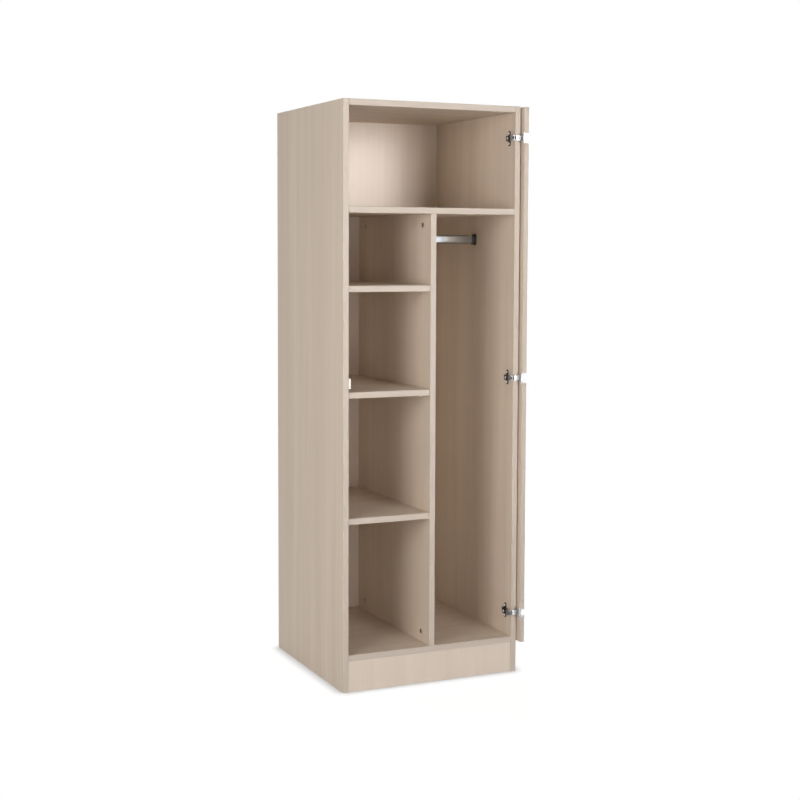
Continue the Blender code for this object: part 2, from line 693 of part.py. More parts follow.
def main():
    clear_scene()
    cabinet = empty("cabinet", place=(CABINET_X, CABINET_Y, 0))
    door = empty("door_axis", cabinet, (HALF + PIVOT_OUT, -PIVOT_FRONT, 0), (0, 0, DOOR_OPEN))
    make_boards(cabinet)
    make_shelves(cabinet)
    make_connectors(cabinet)
    make_rail(cabinet)
    make_hinges(cabinet, door)
    make_door(door)
    make_lock(door)
    make_strike(cabinet)


main()
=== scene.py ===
import json
import math

import bmesh
import bpy
from mathutils import Matrix, Vector

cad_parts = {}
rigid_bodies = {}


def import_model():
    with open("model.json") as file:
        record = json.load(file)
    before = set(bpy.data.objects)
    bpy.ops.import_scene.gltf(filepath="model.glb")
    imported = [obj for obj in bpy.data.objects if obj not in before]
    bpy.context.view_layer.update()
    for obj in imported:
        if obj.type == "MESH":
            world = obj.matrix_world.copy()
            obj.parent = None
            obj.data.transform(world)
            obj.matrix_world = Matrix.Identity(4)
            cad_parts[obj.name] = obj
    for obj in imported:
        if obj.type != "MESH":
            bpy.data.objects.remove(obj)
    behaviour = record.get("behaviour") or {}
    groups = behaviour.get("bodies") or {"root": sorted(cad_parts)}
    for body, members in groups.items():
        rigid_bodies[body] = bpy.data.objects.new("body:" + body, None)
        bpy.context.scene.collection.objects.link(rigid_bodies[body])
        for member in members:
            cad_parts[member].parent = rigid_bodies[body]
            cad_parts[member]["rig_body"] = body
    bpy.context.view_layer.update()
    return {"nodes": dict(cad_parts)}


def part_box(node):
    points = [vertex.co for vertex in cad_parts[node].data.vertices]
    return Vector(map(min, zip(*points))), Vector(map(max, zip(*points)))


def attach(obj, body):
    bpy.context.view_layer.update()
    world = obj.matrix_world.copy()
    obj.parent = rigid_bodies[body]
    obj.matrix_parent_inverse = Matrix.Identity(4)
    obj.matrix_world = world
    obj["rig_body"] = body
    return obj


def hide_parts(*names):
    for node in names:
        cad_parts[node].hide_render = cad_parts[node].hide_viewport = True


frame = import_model()
nodes = frame["nodes"]
flush = 1e-5  # metres within which two places count as level
close = 1e-4  # the same, for faces that a bevel has moved
overshoot = 0.002  # how far a cutter starts outside what it cuts
nearEnd = 0.9  # past this share of a length counts as its end
print("frame loaded:", len(nodes), "nodes")


# selecting and editing

def soleSelect(piece):
    if bpy.context.object and bpy.context.object.mode == "EDIT":
        bpy.ops.object.mode_set(mode="OBJECT")
    bpy.ops.object.select_all(action="DESELECT")
    piece.select_set(True)
    bpy.context.view_layer.objects.active = piece


def editMode(piece, kind):
    soleSelect(piece)
    bpy.ops.object.mode_set(mode="EDIT")
    bpy.ops.mesh.select_mode(type=kind)
    bpy.ops.mesh.select_all(action="DESELECT")
    return bmesh.from_edit_mesh(piece.data)


def objectMode():
    bpy.ops.object.mode_set(mode="OBJECT")


def pickVerts(piece, test):
    mesh = editMode(piece, "VERT")
    for vert in mesh.verts:
        vert.select = test(vert.co)
    mesh.select_flush_mode()
    bmesh.update_edit_mesh(piece.data)


def pickEdges(piece, test):
    mesh = editMode(piece, "EDGE")
    for edge in mesh.edges:
        edge.select = test(edge.verts[0].co, edge.verts[1].co)
    mesh.select_flush_mode()
    bmesh.update_edit_mesh(piece.data)


def pickFaces(piece, test):
    mesh = editMode(piece, "FACE")
    for face in mesh.faces:
        face.select = test(face.normal, face.calc_center_median())
    mesh.select_flush_mode()
    bmesh.update_edit_mesh(piece.data)


# adding and shaping

def adopt(name):  # the primitive just added becomes a piece, with its place in its mesh
    piece = bpy.context.object
    piece.name = name
    bpy.ops.object.transform_apply(location=True, rotation=True, scale=True)
    return piece


def addBlock(name, low, high):
    low, high = Vector(low), Vector(high)
    bpy.ops.object.select_all(action="DESELECT")
    bpy.ops.mesh.primitive_cube_add(size=1, location=(low + high) / 2)
    bpy.context.object.scale = high - low
    return adopt(name)


def addRod(name, start, end, radius, sides=40):
    start, end = Vector(start), Vector(end)
    along = end - start
    turn = along.to_track_quat("Z", "Y").to_euler()
    bpy.ops.object.select_all(action="DESELECT")
    bpy.ops.mesh.primitive_cylinder_add(
        vertices=sides, radius=radius, depth=along.length, location=(start + end) / 2, rotation=turn)
    return adopt(name)


def addOval(name, centre, width, height, run, sides=64, filled=True):  # flat-sided, upright, facing along X
    centre = Vector(centre)
    turn = (Matrix.Rotation(math.pi / sides, 3, "X") @ Matrix.Rotation(math.pi / 2, 3, "Y")).to_euler()
    bpy.ops.object.select_all(action="DESELECT")
    bpy.ops.mesh.primitive_circle_add(
        vertices=sides, radius=width / 2, fill_type="NGON" if filled else "NOTHING", location=centre, rotation=turn)
    piece = adopt(name)
    for sign in (1, -1):
        pickVerts(piece, lambda co: sign * (co.z - centre.z) > 0)
        bpy.ops.transform.translate(value=(0, 0, sign * (height - width) / 2))
    bpy.ops.mesh.select_all(action="SELECT")
    if filled:
        bpy.ops.mesh.extrude_region_move(TRANSFORM_OT_translate={"value": (run, 0, 0)})
    else:
        bpy.ops.mesh.extrude_edges_move(TRANSFORM_OT_translate={"value": (run, 0, 0)})
    outward()
    return piece


def outward():  # from edit mode: all faces turned out
    bpy.ops.mesh.select_all(action="SELECT")
    bpy.ops.mesh.normals_make_consistent(inside=False)
    objectMode()


def traceOutline(name, points, run):  # a corner extruded along the outline, filled and pulled up
    points = [Vector(point) for point in points]
    bpy.ops.object.select_all(action="DESELECT")
    bpy.ops.mesh.primitive_plane_add(size=0.001, location=points[0])
    piece = adopt(name)
    editMode(piece, "VERT")
    bpy.ops.mesh.select_all(action="SELECT")
    bpy.ops.mesh.merge(type="CENTER")
    for here, there in zip(points, points[1:] + points[:1]):
        bpy.ops.mesh.extrude_region_move(TRANSFORM_OT_translate={"value": there - here})
    bpy.ops.mesh.select_all(action="SELECT")
    bpy.ops.mesh.remove_doubles(threshold=1e-6)
    bpy.ops.mesh.edge_face_add()
    bpy.ops.mesh.extrude_region_move(TRANSFORM_OT_translate={"value": Vector(run)})
    outward()
    return piece


def arcPoints(centre, radius, first, last, z, steps=12):  # degrees
    turns = [math.radians(first + (last - first) * step / steps) for step in range(steps + 1)]
    return [(centre[0] + radius * math.cos(t), centre[1] + radius * math.sin(t), z) for t in turns]


def splitFaces(piece, place, normal):  # a line across the faces, where one finish ends and another starts
    editMode(piece, "FACE")
    bpy.ops.mesh.select_all(action="SELECT")
    bpy.ops.mesh.bisect(plane_co=place, plane_no=normal)
    objectMode()


def applyModifier(piece, kind, **settings):
    soleSelect(piece)
    step = piece.modifiers.new(kind.title(), kind)
    for key, value in settings.items():
        setattr(step, key, value)
    bpy.ops.object.modifier_apply(modifier=step.name)


def roundEdges(piece, test, width, steps=3):
    pickEdges(piece, test)
    bpy.ops.mesh.bevel(offset=width, segments=steps, affect="EDGES")
    objectMode()


def soften(piece, width, steps=2, angle=40):  # every sharp edge
    applyModifier(piece, "BEVEL", width=width, segments=steps, limit_method="ANGLE",
                  angle_limit=math.radians(angle))


def carve(piece, *cutters):
    for cutter in cutters:
        applyModifier(piece, "BOOLEAN", object=cutter, operation="DIFFERENCE", solver="MANIFOLD")
        bpy.data.objects.remove(cutter)


def weld(piece, *others):
    for other in others:
        applyModifier(piece, "BOOLEAN", object=other, operation="UNION", solver="MANIFOLD")
        bpy.data.objects.remove(other)


def copyTo(model, name, matrix):
    soleSelect(model)
    bpy.ops.object.duplicate(linked=False)
    bpy.context.object.matrix_world = matrix
    return adopt(name)


def crossSlot(piece, centre, facing, length, width, depth):  # a cross recess for a screwdriver
    facing = Vector(facing)
    across = facing.orthogonal().normalized()
    over = facing.cross(across)
    for first, second in ((across, over), (over, across)):
        reach = first * length / 2 + second * width / 2 + facing * depth
        reach = Vector((abs(reach.x), abs(reach.y), abs(reach.z)))
        carve(piece, addBlock("slot", Vector(centre) - reach, Vector(centre) + reach))


def finishPiece(piece, node, look, angle=35):
    soleSelect(piece)
    bpy.ops.object.shade_smooth_by_angle(angle=math.radians(angle))
    applyModifier(piece, "WEIGHTED_NORMAL", keep_sharp=True)
    if look:
        piece.data.materials.clear()
        piece.data.materials.append(look)
    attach(piece, nodes[node]["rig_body"])
    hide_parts(node)


def secondFinish(piece, look, test):  # some faces of a finished piece take another material
    piece.data.materials.append(look)
    for face in piece.data.polygons:
        if test(face.normal, face.center):
            face.material_index = len(piece.data.materials) - 1


# node groups

def addNode(tree, kind, **settings):
    node = tree.nodes.new(kind)
    for key, value in settings.items():
        setattr(node, key, value)
    return node


def addMath(tree, operation, first, second):
    node = addNode(tree, "ShaderNodeMath", operation=operation)
    for socket, value in zip(node.inputs, (first, second)):
        if isinstance(value, (int, float)):
            socket.default_value = value
        else:
            tree.links.new(value, socket)
    return node.outputs[0]


def addNoise(tree, vector, scale, detail, roughness, distortion=0.0):
    node = addNode(tree, "ShaderNodeTexNoise")
    node.inputs["Scale"].default_value = scale
    node.inputs["Detail"].default_value = detail
    node.inputs["Roughness"].default_value = roughness
    node.inputs["Distortion"].default_value = distortion
    tree.links.new(vector, node.inputs["Vector"])
    return node.outputs["Fac"]


def addRange(tree, value, low, high, toLow, toHigh):
    node = addNode(tree, "ShaderNodeMapRange")
    node.inputs["From Min"].default_value = low
    node.inputs["From Max"].default_value = high
    node.inputs["To Min"].default_value = toLow
    node.inputs["To Max"].default_value = toHigh
    tree.links.new(value, node.inputs["Value"])
    return node.outputs["Result"]


def startGroup(name):  # a finish runs from a pale to a deep colour and from smooth to rough
    group = bpy.data.node_groups.new(name, "ShaderNodeTree")
    inputs = {"Vector": "NodeSocketVector", "Pale": "NodeSocketColor", "Deep": "NodeSocketColor",
              "Smooth": "NodeSocketFloat", "Rough": "NodeSocketFloat"}
    outputs = {"Color": "NodeSocketColor", "Roughness": "NodeSocketFloat", "Height": "NodeSocketFloat"}
    for socket, kind in inputs.items():
        group.interface.new_socket(socket, in_out="INPUT", socket_type=kind)
    for socket, kind in outputs.items():
        group.interface.new_socket(socket, in_out="OUTPUT", socket_type=kind)
    return group, addNode(group, "NodeGroupInput"), addNode(group, "NodeGroupOutput")


def endGroup(group, inner, outer, tone, wear, height):  # tone moves the colour, wear the roughness
    mix = addNode(group, "ShaderNodeMix", data_type="RGBA", clamp_factor=True)
    group.links.new(tone, mix.inputs["Factor"])
    group.links.new(inner.outputs["Pale"], mix.inputs["A"])
    group.links.new(inner.outputs["Deep"], mix.inputs["B"])
    group.links.new(mix.outputs["Result"], outer.inputs["Color"])
    span = addMath(group, "SUBTRACT", inner.outputs["Rough"], inner.outputs["Smooth"])
    rough = addMath(group, "ADD", inner.outputs["Smooth"], addMath(group, "MULTIPLY", span, wear))
    group.links.new(rough, outer.inputs["Roughness"])
    group.links.new(height, outer.inputs["Height"])
    return group


def addShares(tree, first, firstShare, second, secondShare):
    return addMath(tree, "ADD", addMath(tree, "MULTIPLY", first, firstShare),
                   addMath(tree, "MULTIPLY", second, secondShare))


# noise is scale, detail, roughness and distortion
grain = {
    "bands": (16.0, 3.0, 0.5, 0.4), "streaks": (90.0, 4.0, 0.6), "pores": (420.0, 2.0, 0.5),
    "bandShare": 0.7, "streakShare": 0.3, "poreShare": 0.35,
    "poreRange": (0.62, 0.74), "toneRange": (0.32, 0.68),
    "relief": 0.5,  # streaks stand up and pores go down
}
plating = {
    "clouds": (60.0, 3.0, 0.6), "lines": (900.0, 2.0, 0.5),
    "cloudShare": 0.6, "lineShare": 0.4, "toneRange": (0.3, 0.7),
}


def makeGrainGroup():  # the printed wood: broad bands, fine streaks and short pores, all drawn out by the mapping
    group, inner, outer = startGroup("printedGrain")
    vector = inner.outputs["Vector"]
    bands = addNoise(group, vector, *grain["bands"])
    streaks = addNoise(group, vector, *grain["streaks"])
    pores = addRange(group, addNoise(group, vector, *grain["pores"]), *grain["poreRange"], 0, 1)
    figure = addShares(group, bands, grain["bandShare"], streaks, grain["streakShare"])
    figure = addRange(group, figure, *grain["toneRange"], 0, 1)
    tone = addMath(group, "ADD", figure, addMath(group, "MULTIPLY", pores, grain["poreShare"]))
    height = addShares(group, streaks, grain["relief"], pores, -grain["relief"])
    return endGroup(group, inner, outer, tone, streaks, height)


def makeMetalGroup():  # plating: faint tone and roughness clouds with fine drawn lines
    group, inner, outer = startGroup("platedMetal")
    vector = inner.outputs["Vector"]
    clouds = addNoise(group, vector, *plating["clouds"])
    lines = addNoise(group, vector, *plating["lines"])
    tone = addRange(group, clouds, *plating["toneRange"], 0, 1)
    wear = addShares(group, clouds, plating["cloudShare"], lines, plating["lineShare"])
    return endGroup(group, inner, outer, tone, wear, lines)


# materials

decors = {
    "decor": {"pale": (0.702, 0.600, 0.500), "deep": (0.618, 0.516, 0.418),
              "smooth": 0.52, "rough": 0.60, "sheen": 0.3},
    # the back panel is a lighter copy of the decor: painted light on the back wall
    "back": {"pale": (0.776, 0.674, 0.572), "deep": (0.689, 0.583, 0.482), "smooth": 0.36, "rough": 0.44},
    # the plinth is a darker copy of the decor: painted shade
    "plinth": {"pale": (0.628, 0.540, 0.459), "deep": (0.573, 0.486, 0.406), "smooth": 0.40, "rough": 0.48},
    # the edging is a darker copy of the decor: painted shade on the front edges
    "edging": {"pale": (0.494, 0.424, 0.358), "deep": (0.452, 0.383, 0.320), "smooth": 0.50, "rough": 0.58},
}
metals = {
    "nickel": {"pale": (0.36, 0.36, 0.37), "deep": (0.29, 0.29, 0.30),
               "smooth": 0.22, "rough": 0.36, "metallic": 0.7},
    # bright nickel: the pin's own finish, and a painted highlight on the arm's block
    "brightNickel": {"pale": (0.76, 0.76, 0.76), "deep": (0.68, 0.68, 0.68), "smooth": 0.16, "rough": 0.30},
    # satin nickel: the cup's own finish, and a painted highlight on the arm's leg and boss
    "satinNickel": {"pale": (0.62, 0.62, 0.63), "deep": (0.55, 0.55, 0.56),
                    "smooth": 0.20, "rough": 0.34, "metallic": 0.6},
    # near-black nickel: painted shade on the hinge plate and in the arm's slots, eye, groove and root
    "paintedShadeNickel": {"pale": (0.06, 0.06, 0.062), "deep": (0.035, 0.035, 0.037), "smooth": 0.26, "rough": 0.42},
    "chrome": {"pale": (0.50, 0.53, 0.56), "deep": (0.44, 0.47, 0.50), "smooth": 0.07, "rough": 0.16},
    # near-black socket: painted shade at the ends of the coat rail
    "paintedShadeSocket": {"pale": (0.13, 0.13, 0.13), "deep": (0.09, 0.09, 0.09), "smooth": 0.26, "rough": 0.40},
    "strikeZinc": {"pale": (0.70, 0.64, 0.57), "deep": (0.62, 0.56, 0.50),
                   "smooth": 0.30, "rough": 0.45, "metallic": 0.2},
    # near-white zinc on the screw heads: their own bright zinc with a painted highlight against the shade
    "screwZincHighlight": {"pale": (0.94, 0.94, 0.93), "deep": (0.88, 0.88, 0.87),
                  "smooth": 0.24, "rough": 0.38, "metallic": 0.1},
    "zinc": {"pale": (0.42, 0.43, 0.44), "deep": (0.33, 0.34, 0.35), "smooth": 0.26, "rough": 0.42},
    "steel": {"pale": (0.78, 0.77, 0.75), "deep": (0.68, 0.67, 0.65), "smooth": 0.18, "rough": 0.34},
    "aluminium": {"pale": (0.46, 0.46, 0.47), "deep": (0.40, 0.40, 0.41),
                  "smooth": 0.34, "rough": 0.48, "metallic": 0.5},
}
finish = {
    "grainDraw": 0.035,  # how far the pattern is drawn out along the grain
    "grainDepth": 0.00008,
    "platingDepth": 0.00001,
    "sheen": 0.5,
}
grainGroup = makeGrainGroup()
metalGroup = makeMetalGroup()


def makeMaterial(name, tones, metallic, group, drawn, depth):
    material = bpy.data.materials.new(name)
    material.use_nodes = True
    tree = material.node_tree
    shader = tree.nodes["Principled BSDF"]
    shader.inputs["Metallic"].default_value = metallic
    shader.inputs["Specular IOR Level"].default_value = tones.get("sheen", finish["sheen"])
    place = addNode(tree, "ShaderNodeTexCoord")
    mapping = addNode(tree, "ShaderNodeMapping")
    mapping.inputs["Scale"].default_value = drawn
    coat = addNode(tree, "ShaderNodeGroup", node_tree=group)
    coat.inputs["Pale"].default_value = (*tones["pale"], 1)
    coat.inputs["Deep"].default_value = (*tones["deep"], 1)
    coat.inputs["Smooth"].default_value = tones["smooth"]
    coat.inputs["Rough"].default_value = tones["rough"]
    bump = addNode(tree, "ShaderNodeBump")
    bump.inputs["Distance"].default_value = depth
    tree.links.new(place.outputs["Object"], mapping.inputs["Vector"])
    tree.links.new(mapping.outputs["Vector"], coat.inputs["Vector"])
    tree.links.new(coat.outputs["Color"], shader.inputs["Base Color"])
    tree.links.new(coat.outputs["Roughness"], shader.inputs["Roughness"])
    tree.links.new(coat.outputs["Height"], bump.inputs["Height"])
    tree.links.new(bump.outputs["Normal"], shader.inputs["Normal"])
    return material


def decorMaterial(name, tones, alongX=False):
    draw = finish["grainDraw"]
    drawn = (draw, 1, 1) if alongX else (1, 1, draw)
    return makeMaterial(name, decors[tones], 0, grainGroup, drawn, finish["grainDepth"])


decorUpright = decorMaterial("decorUpright", "decor")
decorAcross = decorMaterial("decorAcross", "decor", True)
paintedLightBack = decorMaterial("paintedLightBack", "back")
paintedShadePlinth = decorMaterial("paintedShadePlinth", "plinth")
paintedShadeEdgingUpright = decorMaterial("paintedShadeEdgingUpright", "edging")
paintedShadeEdgingAcross = decorMaterial("paintedShadeEdgingAcross", "edging", True)
metal = {name: makeMaterial(name, tones, tones.get("metallic", 1), metalGroup, (1, 1, 1), finish["platingDepth"])
         for name, tones in metals.items()}
print("materials ready:", len(bpy.data.materials))


# cam connectors, drawn with the joint at X = 0, the host board towards -X and the cam's face down

cams = {
    "bite": 0.011,  # how far the bolt goes into the mating board
    "boltRadius": 0.003,
    "play": 0.0003,
    "cross": (0.0075, 0.0016, 0.0022),
    "rimRadius": 0.0004,
    "notch": 0.0012,
}
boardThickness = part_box("top_panel")[1].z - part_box("top_panel")[0].z
camLow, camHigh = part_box("cam_top_panel_left_front")
camRadius = (camHigh.y - camLow.y) / 2
camHeight = camHigh.z - camLow.z
camReach = camHigh.x - camLow.x - camRadius - cams["bite"]  # from the joint to the cam's axis


def camPlaces():
    places = []
    for node in sorted(name for name in nodes if name.startswith("cam_")):
        low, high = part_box(node)
        y = (low.y + high.y) / 2
        if node.startswith("cam_partition_"):
            host, mate = "partition", node[len("cam_partition_"):].rsplit("_", 1)[0]
            up = 1 if mate == "hat_shelf" else -1
            joint = high.z - cams["bite"] if up > 0 else low.z + cams["bite"]
            centre, along, normal = (low.x + boardThickness / 2, y, joint), (0, 0, up), (1, 0, 0)
        else:
            host, side, _ = node[len("cam_"):].rsplit("_", 2)
            mate = side + "_side_panel"
            out = 1 if side == "right" else -1
            joint = high.x - cams["bite"] if out > 0 else low.x + cams["bite"]
            centre, along, normal = (joint, y, low.z + boardThickness / 2), (out, 0, 0), (0, 0, 1)
        along, normal = Vector(along), Vector(normal)
        turn = Matrix((along, normal.cross(along), normal)).transposed()
        places.append((node, host, mate, Matrix.Translation(centre) @ turn.to_4x4()))
    return places


def camShape(name, play, over):
    face = -boardThickness / 2
    cam = addRod(name, (-camReach, 0, face - over), (-camReach, 0, face + camHeight + play), camRadius + play)
    boltEnd = cams["bite"] + play
    if not over:
        roundEdges(cam, lambda a, b: max(a.z, b.z) < face + flush, cams["rimRadius"], 2)
    weld(cam, addRod("bolt", (-camReach, 0, 0), (boltEnd, 0, 0), cams["boltRadius"] + play, 24))
    return cam


camBore = camShape("camBore", cams["play"], overshoot)
camModel = camShape("camModel", 0, 0)
crossSlot(camModel, (-camReach, 0, -boardThickness / 2), (0, 0, 1), *cams["cross"])
camNotch = Vector((-camReach + camRadius, 0, -boardThickness / 2))  # the mark that points at the joint
carve(camModel, addBlock("mark", camNotch - Vector((3, 1, 1)) * cams["notch"],
                         camNotch + Vector((1, 1, 1)) * cams["notch"]))
for node, _, _, matrix in camPlaces():
    finishPiece(copyTo(camModel, node + "_fitted", matrix), node, metal["zinc"])
print("cams fitted")


# shelf supports, drawn with the board's face at X = 0 and the shelf's underside at Z = 0

supports = {"peg": 0.009, "pegRadius": 0.0025, "pegDrop": 0.007, "gap": 0.0003, "wall": 0.002, "radius": 0.0006}
supportLow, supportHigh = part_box("support_lower_left_front")
supportWidth = supportHigh.y - supportLow.y
supportReach = supportHigh.x - supportLow.x - supports["peg"]
supportHeight = supportHigh.z - supportLow.z


def supportPlaces():
    places = []
    for node in sorted(name for name in nodes if name.startswith("support_")):
        _, shelf, side, _ = node.split("_")
        low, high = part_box(node)
        board = "left_side_panel" if side == "left" else "partition"
        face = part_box(board)[1].x if side == "left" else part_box(board)[0].x
        centre = (face, (low.y + high.y) / 2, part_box(shelf + "_shelf")[0].z)
        turn = Matrix.Rotation(0 if side == "left" else math.pi, 4, "Z")
        places.append((node, board, Matrix.Translation(centre) @ turn))
    return places


def supportShape(name):
    top, gap, wall = -supports["gap"], supports["gap"], supports["wall"]
    low = top - supportHeight
    outline = [(gap, low), (gap + wall, low), (gap + wall, top - wall), (supportReach, top - wall),
               (supportReach, top), (gap, top)]
    ledge = traceOutline(name, [(x, -supportWidth / 2, z) for x, z in outline], (0, supportWidth, 0))
    soften(ledge, supports["radius"], 3)
    peg = addRod("peg", (-supports["peg"], 0, -supports["pegDrop"]), (gap + wall * 0.9, 0, -supports["pegDrop"]),
                 supports["pegRadius"], 24)
    weld(ledge, peg)
    return ledge


supportModel = supportShape("supportModel")
for node, _, matrix in supportPlaces():
    finishPiece(copyTo(supportModel, node + "_fitted", matrix), node, metal["steel"])
print("shelf supports fitted")


# boards of the cabinet

boards = {
    "frontRadius": 0.0013,  # edging along the front
    "plainRadius": 0.0004,
    "grooveGap": 0.0003,
    "boreGap": 0.0003,
    "faceTilt": 0.97,  # cosine; a face turned further from the board's flat is edging
    "upright": ("left_side_panel", "right_side_panel", "partition", "back_panel", "plinth_board"),
    "across": ("top_panel", "hat_shelf", "bottom_panel", "lower_shelf", "middle_shelf", "upper_shelf"),
    "grooved": ("left_side_panel", "right_side_panel", "top_panel", "bottom_panel"),
    "plain": ("back_panel", "plinth_board"),
}


def thinAxis(low, high):
    size = high - low
    return min(range(3), key=lambda axis: size[axis])


def makeBoard(node):
    low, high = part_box(node)
    size = high - low
    board = addBlock(node + "_board", low, high)
    if node not in boards["plain"]:
        axis = 2 if size.z > size.x else 0

        def frontEdge(a, b):
            return max(a.y, b.y) < low.y + flush and abs(a[axis] - b[axis]) > size[axis] / 2

        roundEdges(board, frontEdge, boards["frontRadius"], 4)
    soften(board, boards["plainRadius"], 2, 50)
    if node in boards["grooved"]:
        backLow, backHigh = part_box("back_panel")
        gap = Vector((1, 1, 1)) * boards["grooveGap"]
        carve(board, addBlock("groove", backLow - gap, backHigh + gap))
    for _, host, mate, matrix in camPlaces():
        if node in (host, mate):
            carve(board, copyTo(camBore, "bore", matrix))
    for _, carrier, matrix in supportPlaces():
        if node == carrier:
            depth = supports["peg"] + boards["boreGap"]
            drop = -supports["pegDrop"]
            bore = addRod("bore", (-depth, 0, drop), (overshoot, 0, drop),
                          supports["pegRadius"] + boards["boreGap"], 24)
            carve(board, copyTo(bore, "pegBore", matrix))
            bpy.data.objects.remove(bore)
    upright = node in boards["upright"]
    face = decorUpright if upright else decorAcross
    face = {"plinth_board": paintedShadePlinth, "back_panel": paintedLightBack}.get(node, face)
    finishPiece(board, node, face)
    if node not in boards["plain"]:
        thin = thinAxis(low, high)
        edging = paintedShadeEdgingUpright if upright else paintedShadeEdgingAcross
        front = low.y + boards["frontRadius"]
        secondFinish(board, edging, lambda normal, at: abs(normal[thin]) < boards["faceTilt"] and at.y < front)


for node in boards["upright"] + boards["across"]:
    makeBoard(node)
for helper in (camBore, camModel, supportModel):
    bpy.data.objects.remove(helper)
print("boards made")


# coat rail and its sockets

rail = {"wall": 0.0012, "collar": 0.0018, "gap": 0.0003, "flange": 0.003, "rim": 0.0009, "collarRim": 0.0006,
        "sides": 72}
railLow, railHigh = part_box("coat_rail")
railWidth = railHigh.y - railLow.y
railHeight = railHigh.z - railLow.z
railMiddle = (railLow + railHigh) / 2

tube = addOval("coat_rail_tube", (railLow.x, railMiddle.y, railMiddle.z), railWidth, railHeight,
               railHigh.x - railLow.x, rail["sides"], False)
applyModifier(tube, "SOLIDIFY", thickness=rail["wall"], offset=-1)
finishPiece(tube, "coat_rail", metal["chrome"])

for side, out in (("left", 1), ("right", -1)):
    node = "rail_socket_" + side
    low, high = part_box(node)
    face = low.x if out > 0 else high.x
    tip = high.x if out > 0 else low.x
    centre = railMiddle.y, railMiddle.z
    flange = addOval(node + "_fitted", (face, *centre), high.y - low.y, high.z - low.z, out * rail["flange"])
    roundEdges(flange, lambda a, b: min(abs(a.x - face), abs(b.x - face)) > rail["flange"] * nearEnd, rail["rim"], 4)
    grown = 2 * rail["collar"]
    start = face + out * rail["flange"] / 2
    collar = addOval("collar", (start, *centre), railWidth + grown, railHeight + grown, tip - start)
    length = abs(tip - start)
    roundEdges(collar, lambda a, b: min(abs(a.x - start), abs(b.x - start)) > length * nearEnd, rail["collarRim"], 3)
    grown = 2 * rail["gap"]
    floor = face + out * rail["flange"]
    bore = addOval("bore", (floor, *centre), railWidth + grown, railHeight + grown, (tip - floor) * 1.2)
    weld(flange, collar)
    carve(flange, bore)
    finishPiece(flange, node, metal["paintedShadeSocket"])
print("coat rail fitted")


# hinges: the middle one is modelled in place and copied up and down

hinge = {
    "places": ("top", "middle", "bottom"),
    "plateThickness": 0.003, "barHeight": 0.013, "wingWidth": 0.011, "screwSpacing": 0.032, "screwRadius": 0.0038,
    "armHeight": 0.016, "armDepth": 0.010, "edgeGap": 0.001, "bow": 0.008, "corner": 0.0035,
    "legInner": -0.0004, "legOuter": 0.0034,
    "pin": 0.00175, "pinPlay": 0.0003,
    "slots": ((0.0010, 0.0038, 0.0096), (0.0078, 0.0038, 0.0126)), "slotDepth": 0.0045,  # from the arm's inner face
    "sideSlots": ((0.0125, 0.0045),), "sideSlotHeight": 0.0085, "rootStart": 0.0095, "screwBack": 0.0255,
    "block": (0.0142, 0.0218), "blockRise": 0.0008, "blockHeight": 0.0156,
    "bossRadius": 0.0052, "bossRise": 0.0012, "bossEye": 0.0025, "bossInset": 0.0036, "bossGroove": 0.0012,
    "cupHeight": 0.031, "cupWall": 0.0012, "edgePlate": 0.0017, "floorGap": 0.004,
    "cupCorner": 0.004, "cavityCorner": 0.003, "wingCorner": 0.005,
    "mouth": 0.017, "wingThickness": 0.0011, "cupWing": 0.018, "wingScrew": 0.0036, "wingScrewRise": 0.0003,
    "gap": 0.0003, "sink": 0.001, "armScrewRise": 0.0011, "grooveDepth": 0.0012, "eyeDepth": 0.003,
    "grooveRise": 0.003,  # up the leg, which the groove bites into
    "round": 0.0005, "blockRound": 0.0004, "bossRound": 0.0008, "earRound": 0.0003, "pinRound": 0.0006,
    "cross": (0.0044, 0.0009, 0.0012),
}
panelLow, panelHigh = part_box("right_side_panel")
corner = Vector((panelHigh.x, panelLow.y, 0))  # the panel's outer front corner
pinLow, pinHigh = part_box("hinge_pin_middle")
pivot = (pinLow + pinHigh) / 2
hingeZ = pivot.z
knuckle = pivot.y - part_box("hinge_arm_middle")[0].y
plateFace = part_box("hinge_plate_middle")[1].x - hinge["plateThickness"]
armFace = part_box("hinge_arm_middle")[0].x
armFront = corner.y - hinge["edgeGap"] - hinge["bow"]
cupFloor = pivot.x + (armFront - pivot.y) - hinge["floorGap"]  # clears the arm when the door is shut


def screwHead(name, centre, facing, radius, rise):
    centre, facing = Vector(centre), Vector(facing)
    head = addRod(name, centre - facing * hinge["sink"], centre + facing * rise, radius, 32)

    def onTop(a, b):
        return min((a - centre).dot(facing), (b - centre).dot(facing)) > rise * nearEnd

    roundEdges(head, onTop, rise * 0.6, 3)
    crossSlot(head, centre + facing * rise, facing, *hinge["cross"])
    return head


def pinBore():  # through the knuckles
    reach = Vector((0, 0, hinge["cupHeight"]))
    return addRod("bore", pivot - reach, pivot + reach, hinge["pin"] + hinge["pinPlay"], 32)


def plateShape():
    low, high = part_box("hinge_plate_middle")
    middle = (low + high) / 2
    bar, halfBar, wing = (high.y - low.y) / 2, hinge["barHeight"] / 2, hinge["wingWidth"] / 2
    tip = (high.z - low.z) / 2 - wing
    upper = [(y, z) for y, z, _ in arcPoints((0, tip), wing, 0, 180, 0)]
    lower = [(y, z) for y, z, _ in arcPoints((0, -tip), wing, 180, 360, 0)]
    outline = [(wing, -halfBar), (bar, -halfBar), (bar, halfBar), (wing, halfBar), *upper,
               (-wing, halfBar), (-bar, halfBar), (-bar, -halfBar), (-wing, -halfBar), *lower]
    points = [(high.x, middle.y + y, middle.z + z) for y, z in outline]
    plate = traceOutline("hinge_plate", points, (-hinge["plateThickness"], 0, 0))
    soften(plate, hinge["round"], 3, 60)
    face = high.x - hinge["plateThickness"]
    for sign in (1, -1):
        at = (face, middle.y, middle.z + sign * hinge["screwSpacing"] / 2)
        weld(plate, screwHead("screw", at, (-1, 0, 0), hinge["screwRadius"], face - low.x))
    return plate


